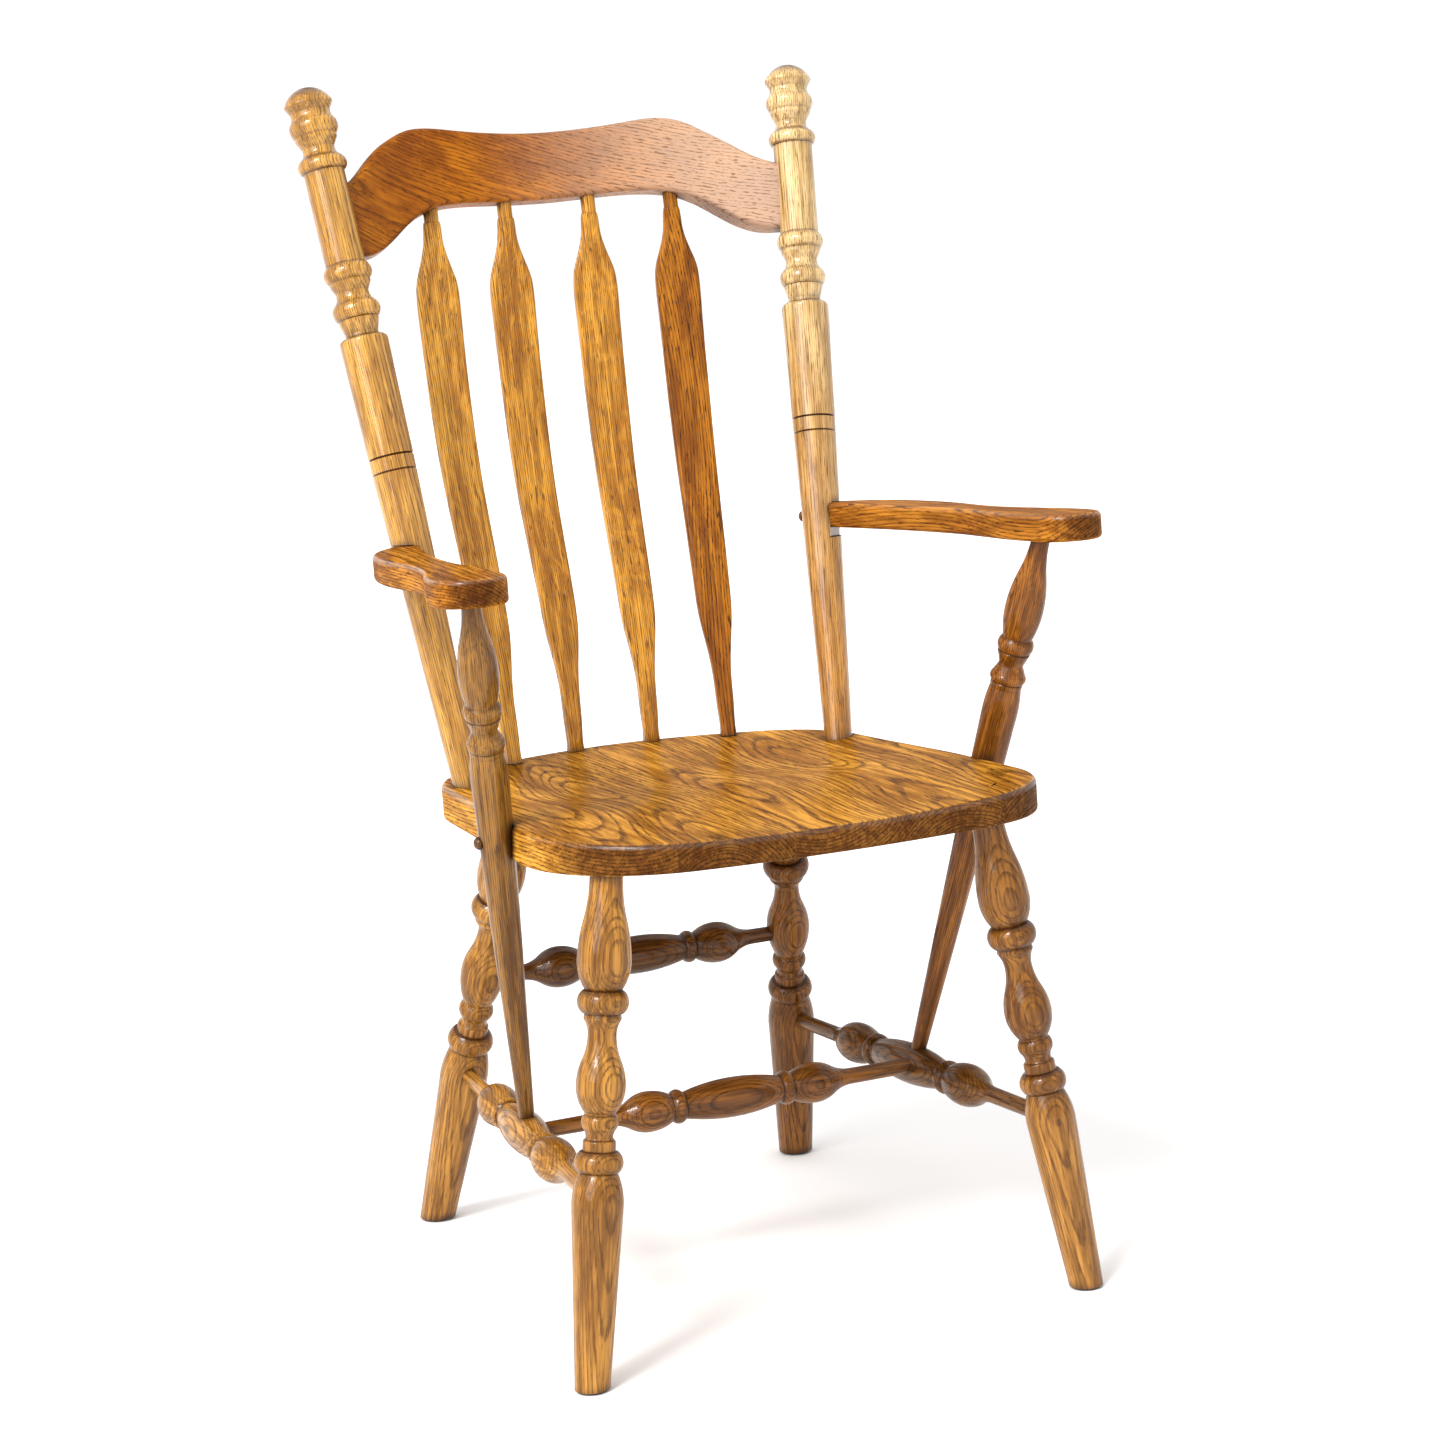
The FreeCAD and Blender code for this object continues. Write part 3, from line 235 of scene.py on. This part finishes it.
def oak_material(name, oak, place_log, ring, wave, painted_sheen=None):
    """place_log(web, point) gives the point in the log's frame, the grain direction, and a
    tint and a joint line if the piece has them; the tint is a random board tone on the seat and
    painted light on the right back post.
    The last argument, if given, gives a share and a colour of a painted sheen: a pale reflection
    of a light, painted into the colour."""
    material, web, coordinates = new_material(name)
    point, normal = coordinates["Object"], coordinates["Normal"]
    log, grain, shade, joint = place_log(web, point)
    figure = web.add("ShaderNodeGroup", node_tree=FIGURE)
    web.feed(figure.inputs["Log"], log)
    figure.inputs["Ring"].default_value = ring
    figure.inputs["Wave"].default_value = wave
    early, pores, rays, fibre, cloud, streak = figure.outputs[:6]

    body = web.mix(web.step(cloud, 0.34, 0.66), rgba(oak.pale), rgba(oak.deep))
    body = web.mix(web.times(web.step(fibre, 0.40, 0.68), FIBRE_SHARE), body, rgba(oak.deep))
    dark, light = rgba(0.7 * Vector(oak.deep)), rgba(1.3 * Vector(oak.pale))
    body = web.mix(web.step(streak, 0.46, 0.64, 0.0, STREAK_DARK * oak.streaks), body, dark)
    body = web.mix(web.step(streak, 0.34, 0.50, STREAK_LIGHT * oak.streaks, 0.0), body, light)
    body = web.mix(web.times(early, oak.ring_share), body, rgba(0.45 * Vector(oak.deep)))
    body = web.mix(web.times(rays, RAY_SHARE), body, rgba(1.25 * Vector(oak.pale)))
    # painted sheen: a pale reflection of a light, painted into the colour
    if painted_sheen is not None:
        share, colour = painted_sheen(web, point)
        body = web.mix(share, body, rgba(colour))
    body = web.mix(web.times(pores, oak.pore_share), body, rgba(oak.pore))

    # end grain drinks more stain.  An ambient-occlusion node darkens every crease and every
    # surface near another part: partly glaze left in the creases, partly painted shade; board
    # joints take the same dark colour.
    across = web.add("ShaderNodeVectorMath", operation="DOT_PRODUCT")
    web.feed(across.inputs[0], normal)
    web.feed(across.inputs[1], grain)
    ends = web.step(web.math("ABSOLUTE", across.outputs["Value"]), *oak.ends)
    body = web.mix(ends, body, rgba(END_GRAIN), "MULTIPLY")
    crease = web.add("ShaderNodeAmbientOcclusion", samples=5)
    crease.inputs["Distance"].default_value = CREASE_REACH
    glaze_and_shade = web.step(crease.outputs["AO"], CREASE_FULL, CREASE_CLEAR, GLAZE_AND_SHADE_SHARE, 0.0)
    body = web.mix(glaze_and_shade, body, rgba(GLAZE_AND_SHADE))
    if shade is not None:
        body = web.mix(1.0, body, shade, "MULTIPLY")
        body = web.mix(joint, body, rgba(GLAZE_AND_SHADE))

    shader = web.add("ShaderNodeBsdfPrincipled")
    web.feed(shader.inputs["Base Color"], body)
    rough = web.math("MULTIPLY_ADD", pores, PORE_ROUGHNESS, ROUGHNESS)
    web.feed(shader.inputs["Roughness"], web.sum(rough, web.swing(cloud, ROUGHNESS_SWING)))
    # level tops are worn duller by hands and clothes, and boards shine most on soft edges
    level = web.split(normal)[2]
    worn = LEVEL_BOARD_COAT if oak.board else LEVEL_COAT
    coat_weight = web.step(level, LEVEL_FROM, LEVEL_TO, oak.gloss, worn)
    if oak.board:
        edge = web.step(level, SIDE_UP_TO, EDGE_FROM, SIDE_COAT, 1.0)
        coat_weight = web.times(coat_weight, edge)
    web.feed(shader.inputs["Coat Weight"], coat_weight)
    specular = 0.0 if oak.board else BARE_SPECULAR
    coat_roughness = WORN_ROUGHNESS if oak.board else COAT_ROUGHNESS
    shader.inputs["Specular IOR Level"].default_value = specular
    shader.inputs["Coat Roughness"].default_value = coat_roughness
    shader.inputs["Coat IOR"].default_value = 1.5
    height = web.less(web.times(fibre, 0.35), web.sum(pores, web.times(early, 0.3)))
    web.bump(shader.inputs["Normal"], height, 0.55, GRAIN_DEPTH)
    web.bump(shader.inputs["Coat Normal"], height, 0.25, COAT_DEPTH)
    web.finish(shader)
    return material


def straight_log(start, run, out, pith, slip=0.0, fade=None):
    """A log whose grain follows run.  out points from the pith to the piece, so that the
    flat-sawn figure shows on the side that faces out; pith is the distance between them.
    fade (low, high, colour) tints the wood below the height low, and less up to high."""
    along = run.normalized()
    radial = (out - along * out.dot(along)).normalized()
    side = along.cross(radial)
    turn = Matrix((radial, side, along)).transposed()
    origin = start - radial * pith - along * slip

    def place(web, point):
        mapping = web.add("ShaderNodeMapping", vector_type="TEXTURE")
        mapping.inputs["Location"].default_value = origin
        mapping.inputs["Rotation"].default_value = turn.to_euler()
        web.feed(mapping.inputs["Vector"], point)
        if fade is None:
            return mapping.outputs[0], tuple(along), None, None
        # the fade tints the wood by height; on the right back post it is painted light
        low, high, colour = fade
        height = web.split(point)[2]
        tint = web.mix(web.step(height, low, high), rgba(colour), rgba(WHITE))
        return mapping.outputs[0], tuple(along), tint, 0.0
    return place


BUTT_DOWN = ("back_post_left", "back_post_right", "arrow_spindle_1", "arrow_spindle_2")


def long_axis(name):
    """Middle of a CAD node, and its long direction from the butt end of its log: down,
    forwards or to the right, or upwards for the pieces with the butt end down."""
    mesh = nodes[name].data
    points = np.zeros(len(mesh.vertices) * 3)
    mesh.vertices.foreach_get("co", points)
    points = points.reshape(-1, 3)
    low, high = points.min(0), points.max(0)
    spread = np.linalg.svd(points - points.mean(0), full_matrices=False)[2][0]
    run = Vector(spread)
    sense = Vector((0.1, -0.2, -1.0))
    if (run.dot(sense) < 0) != (name in BUTT_DOWN):
        run = -run
    return Vector((low + high) / 2), run


def coat(name, material):
    slots = nodes[name].data.materials
    slots.clear()
    slots.append(material)


# ---------------------------------------------------------------- kinds of oak
HONEY = Oak((0.62, 0.295, 0.031), (0.34, 0.128, 0.010), (0.075, 0.022, 0.003), 0.42, 0.80, 0.5)
AMBER = Oak((0.40, 0.146, 0.007), (0.20, 0.058, 0.003), (0.040, 0.010, 0.002), 0.44, 0.88, 0.3)
GOLD = Oak((0.58, 0.305, 0.056), (0.34, 0.150, 0.018), (0.10, 0.036, 0.005), 0.34, 0.80, 1.0)
STRAW = Oak((0.64, 0.450, 0.205), (0.42, 0.240, 0.070), (0.13, 0.054, 0.010), 0.30, 0.80, 1.0)
CREST = Oak((0.43, 0.136, 0.004), (0.21, 0.053, 0.002), (0.060, 0.014, 0.001), 0.40, 0.58, 0.15,
            streaks=0.5)
ARM = Oak((0.47, 0.185, 0.020), (0.235, 0.074, 0.006), (0.045, 0.012, 0.002), 0.50, 0.78, 0.9,
          (0.50, 1.05), True)
SEAT = Oak((0.57, 0.266, 0.036), (0.285, 0.108, 0.010), (0.060, 0.018, 0.003), 0.52, 0.78, 0.9,
           (0.24, 0.62), True)
BROWN = Oak((0.45, 0.210, 0.036), (0.20, 0.078, 0.010), (0.065, 0.021, 0.004), 0.40, 0.62, 0.5)
CHESTNUT = Oak((0.24, 0.092, 0.014), (0.11, 0.037, 0.005), (0.032, 0.011, 0.002), 0.40, 0.70, 0.4)
UMBER = Oak((0.17, 0.070, 0.014), (0.075, 0.027, 0.005), (0.020, 0.007, 0.002), 0.40, 0.70, 0.5)


# ---------------------------------------------------------------- turned pieces
# The right back post's fade is painted light: its wood is left pale up high as a painted
# highlight, and tinted darker and more orange down low.
POST_PAINTED_LIGHT = (0.45, 0.95, (0.70, 0.46, 0.16))
FOOT_FADE = (0.10, 0.26, (1.60, 1.85, 2.6))
# The front and rear right legs, both arm posts, the right side stretcher and the cross and rear
# stretchers take darker copies of the oak: painted shade for pieces the light does not reach.
# The right back post takes the paler STRAW: a painted highlight.
# node, oak, direction of its flat-sawn side, pith distance, ring, wave (all mm), fade
TURNED = (
    ("front_leg_left", BROWN, (0.25, -1.0, 0.0), 60, 2.1, 5, None),
    ("front_leg_right", BROWN.toned(0.60, 0.52, 0.42), (-0.2, -1.0, 0.0), 70, 2.0, 5, FOOT_FADE),
    ("rear_leg_left", BROWN, (0.1, -1.0, 0.0), 60, 2.1, 5, None),
    ("rear_leg_right", CHESTNUT, (0.1, -1.0, 0.0), 60, 2.1, 5, None),
    ("arm_post_left", BROWN.toned(0.66, 0.66, 0.72), (1.0, -0.15, 0.0), 70, 1.8, 4, None),
    ("arm_post_right", CHESTNUT.toned(1.3, 1.22, 1.0), (1.0, -0.15, 0.0), 70, 1.8, 4, None),
    ("back_post_left", GOLD, (0.9, -0.5, 0.0), 90, 2.0, 5, None),
    ("back_post_right", STRAW, (-1.0, 0.35, 0.0), 90, 2.0, 5, POST_PAINTED_LIGHT),
    ("side_stretcher_left", BROWN, (-0.9, -0.2, 0.3), 46, 2.0, 5, None),
    ("side_stretcher_right", UMBER, (-0.9, -0.2, 0.3), 46, 2.0, 5, None),
    ("cross_stretcher", UMBER.toned(1.4, 1.3, 1.1), (0.0, -1.0, 0.1), 40, 2.0, 4, None),
    ("rear_stretcher", UMBER.toned(0.78, 0.72, 0.66), (0.0, -1.0, -0.1), 40, 2.0, 4, None),
)


# each piece is sawn from a stretch of log of its own, so far from the one before
TURNED_SLIP, SPINDLE_SLIP, ARM_SLIP = 0.37, 0.41, 0.3


def coat_turned():
    for i, (name, oak, out, pith, ring, wave, fade) in enumerate(TURNED):
        middle, run = long_axis(name)
        place = straight_log(middle, run, Vector(out), pith * MM, TURNED_SLIP * i, fade)
        coat(name, oak_material(name + "_oak", oak, place, ring * MM, wave * MM))


def coat_spindles():
    for i in range(1, 5):
        name = "arrow_spindle_%d" % i
        middle, run = long_axis(name)
        out = Vector((1.0, -0.12, 0.0)) if i < 4 else Vector((0.5, -0.85, 0.0))
        place = straight_log(middle, run, out, 90 * MM, SPINDLE_SLIP * i)
        oak = (HONEY.toned(1.20, 1.28, 1.6), HONEY, HONEY, AMBER)[i - 1]
        coat(name, oak_material(name + "_oak", oak, place, 2.0 * MM, 6 * MM))


def coat_arms():
    for side, s in SIDES:
        name = "arm_" + side
        middle, run = long_axis(name)
        out = Vector((-0.5 * s, 0.0, 1.0))
        place = straight_log(middle, run, out, 80 * MM, ARM_SLIP * s)
        coat(name, oak_material(name + "_oak", ARM, place, 2.6 * MM, 8 * MM))


CREST_MIDDLE = Vector((0.0, 0.2743, 0.965))
CREST_LEAN = math.radians(12.6)
CREST_BEND = 0.387
CREST_DIP = math.radians(17)
CREST_FLECK = 2.3
CREST_PITH_BACK, CREST_PITH_DOWN = 60 * MM, 55 * MM


def crest_log(web, point):
    """The rail is bent, so its log is bent with it: round a centre in front of the rail.
    The grain dips across the rail, and the flecks along it are CREST_FLECK times shorter."""
    mapping = web.add("ShaderNodeMapping", vector_type="TEXTURE")
    mapping.inputs["Location"].default_value = CREST_MIDDLE
    mapping.inputs["Rotation"].default_value = (-CREST_LEAN, 0.0, 0.0)
    web.feed(mapping.inputs["Vector"], point)
    x, y, z = web.split(mapping.outputs[0])
    y = web.sum(y, CREST_BEND)
    along = web.times(web.math("ARCTAN2", x, y), CREST_BEND)
    depth = web.less(web.math("SQRT", web.sum(web.times(x, x), web.times(y, y))), CREST_BEND)
    depth = web.sum(depth, CREST_PITH_BACK)
    dip, rest = math.sin(CREST_DIP), math.cos(CREST_DIP)
    rise = web.sum(web.sum(web.times(z, rest), web.times(along, dip)), CREST_PITH_DOWN)
    run = web.less(web.times(along, rest), web.times(z, dip))
    return web.xyz(depth, rise, web.times(run, CREST_FLECK)), (1.0, 0.0, 0.0), None, None


# painted sheen on the crest rail: a pale reflection painted into its colour towards the right end
PAINTED_SHEEN_FROM, PAINTED_SHEEN_TO, PAINTED_SHEEN_SHARE = -0.09, 0.19, 0.78
PAINTED_SHEEN = (0.50, 0.345, 0.245)


def crest_painted_sheen(web, point):
    """Painted sheen: the colour turns pale towards the right end of the rail, standing in for the
    reflection of a light in the polish.
    """
    x = web.split(point)[0]
    return web.times(web.step(x, PAINTED_SHEEN_FROM, PAINTED_SHEEN_TO), PAINTED_SHEEN_SHARE), PAINTED_SHEEN


def coat_crest():
    coat("crest_rail", oak_material("crest_rail_oak", CREST, crest_log, 3.0 * MM, 14 * MM,
                                    crest_painted_sheen))


BOARD = 0.098
BOARD_SHIFT = 0.031
BOARD_LEVEL = 0.44
PITH_ASIDE = 60 * MM
PITH_NEAREST, PITH_RANGE = 45 * MM, 50 * MM
PITH_FALL = 0.10
LOG_SLIP = 3.1
CHANCE_START = 7.3


def seat_log(web, point):
    """Boards glued side by side, each from a log of its own, grain from front to back."""
    x, y, z = web.split(point)
    place = web.math("DIVIDE", web.sum(x, BOARD_SHIFT), BOARD)
    number = web.math("FLOOR", place)
    within = web.less(web.less(place, number), 0.5)
    chance = web.add("ShaderNodeTexWhiteNoise", noise_dimensions="1D")
    web.feed(chance.inputs["W"], web.sum(number, CHANCE_START))
    first, second, third = web.split(chance.outputs["Color"])
    across = web.sum(web.times(within, BOARD), web.swing(first, PITH_ASIDE))
    flip = web.math("SIGN", web.less(third, 0.5))
    low = web.math("MULTIPLY_ADD", second, PITH_RANGE, PITH_NEAREST)
    fall = web.times(y, web.swing(first, PITH_FALL))
    height = web.sum(web.times(web.less(z, BOARD_LEVEL), flip), web.sum(low, fall))
    log = web.xyz(height, across, web.sum(y, web.times(third, LOG_SLIP)))
    shade = web.mix(second, rgba((0.90, 0.88, 0.86)), rgba((1.08, 1.08, 1.08)))
    edge = web.times(web.less(0.5, web.math("ABSOLUTE", within)), BOARD)
    joint = web.step(edge, 0.15 * MM, 0.8 * MM, 0.35, 0.0)
    return log, (0.0, 1.0, 0.0), shade, joint


def coat_seat():
    coat("seat", oak_material("seat_oak", SEAT, seat_log, 3.0 * MM, 10 * MM))


# ---------------------------------------------------------------- small pieces
def coat_small():
    for side, s in SIDES:
        for place in ("arm", "seat"):
            name = "%s_button_%s" % (place, side)
            middle = long_axis(name)[0]
            log = straight_log(middle, Vector((0, 0, 1)), Vector((s, -0.3, 0)), 30 * MM)
            coat(name, oak_material(name + "_oak", UMBER, log, 1.6 * MM, 3 * MM))
    steel = plain_material("screw_steel", (0.55, 0.55, 0.53), 0.32, 1.0)
    dark = plain_material("glide_plastic", (0.030, 0.026, 0.022), 0.55, 0.0)
    for side, _ in SIDES:
        for place in ("arm", "seat"):
            coat("%s_screw_%s" % (place, side), steel)
        for end in ("front", "rear"):
            coat("foot_glide_%s_%s" % (end, side), dark)


MOTTLE = (900.0, 900.0, 900.0)


def plain_material(name, colour, rough, metal):
    """A plain finish with a fine mottle in colour and gloss."""
    material, web, coordinates = new_material(name)
    mottle = web.noise(web.scaled(coordinates["Object"], MOTTLE), 3.0)
    shader = web.add("ShaderNodeBsdfPrincipled")
    web.feed(shader.inputs["Base Color"],
             web.mix(mottle, rgba(0.75 * Vector(colour)), rgba(1.2 * Vector(colour))))
    web.feed(shader.inputs["Roughness"], web.math("MULTIPLY_ADD", mottle, 0.2, rough - 0.1))
    shader.inputs["Metallic"].default_value = metal
    web.bump(shader.inputs["Normal"], mottle, 0.3, 0.1 * MM)
    web.finish(shader)
    return material


# ---------------------------------------------------------------- studio
FLOOR_REACH = 40.0
FLOOR_CORNERS = 64
PAPER = (0.93, 0.93, 0.93)


def floor():
    mesh = bpy.data.meshes.new("floor")
    angles = [2 * math.pi * i / FLOOR_CORNERS for i in range(FLOOR_CORNERS)]
    ring = [(FLOOR_REACH * math.cos(a), FLOOR_REACH * math.sin(a), 0.0) for a in angles]
    mesh.from_pydata(ring, [], [tuple(range(FLOOR_CORNERS))])
    obj = bpy.data.objects.new("floor", mesh)
    bpy.context.scene.collection.objects.link(obj)
    material = bpy.data.materials.new("floor_paper")
    material.use_nodes = True
    shader = material.node_tree.nodes["Principled BSDF"]
    shader.inputs["Base Color"].default_value = rgba(PAPER)
    shader.inputs["Roughness"].default_value = 0.9
    shader.inputs["Specular IOR Level"].default_value = 0.2
    mesh.materials.append(material)


def sun(name, azimuth, elevation, strength, spread, colour):
    """A soft light at infinity; azimuth 0 is in front of the chair, positive to +X."""
    lamp = bpy.data.lights.new(name, "SUN")
    lamp.energy, lamp.angle, lamp.color = strength, math.radians(spread), colour
    obj = bpy.data.objects.new(name, lamp)
    a, e = math.radians(azimuth), math.radians(elevation)
    towards = Vector((math.sin(a) * math.cos(e), -math.cos(a) * math.cos(e), math.sin(e)))
    obj.rotation_euler = towards.to_track_quat("Z", "Y").to_euler()
    obj.location = towards * 3.0
    bpy.context.scene.collection.objects.link(obj)


# name, azimuth and elevation in degrees, strength, spread in degrees, colour
SUNS = (("key", -54, 44, 2.0, 16, (1.0, 0.985, 0.96)),
        ("side_box", -60, 28, 1.7, 42, (1.0, 0.99, 0.98)))
SKY_STRENGTH = 1.08


def studio():
    floor()
    for lamp in SUNS:
        sun(*lamp)
    world = bpy.data.worlds.new("studio")
    world.use_nodes = True
    back = world.node_tree.nodes["Background"]
    back.inputs["Color"].default_value = rgba(WHITE)
    back.inputs["Strength"].default_value = SKY_STRENGTH
    bpy.context.scene.world = world


CAMERA_PLACE = Vector((-1.010664, -2.5974, 0.888765))
CAMERA_YAW, CAMERA_PITCH, CAMERA_ROLL = -21.887, -8.1246, -4.1458
CAMERA_LENS, CAMERA_SENSOR = 78.706, 36.0


def camera():
    data = bpy.data.cameras.new("camera")
    data.sensor_width, data.lens = CAMERA_SENSOR, CAMERA_LENS
    obj = bpy.data.objects.new("camera", data)
    turn = (Matrix.Rotation(math.radians(CAMERA_YAW), 4, "Z")
            @ Matrix.Rotation(math.radians(90 + CAMERA_PITCH), 4, "X")
            @ Matrix.Rotation(math.radians(CAMERA_ROLL), 4, "Z"))
    obj.matrix_world = Matrix.Translation(CAMERA_PLACE) @ turn
    bpy.context.scene.collection.objects.link(obj)
    bpy.context.scene.camera = obj


camera()
studio()
coat_turned()
coat_spindles()
coat_arms()
coat_crest()
coat_seat()
coat_small()
bpy.context.scene.view_settings.view_transform = "Standard"
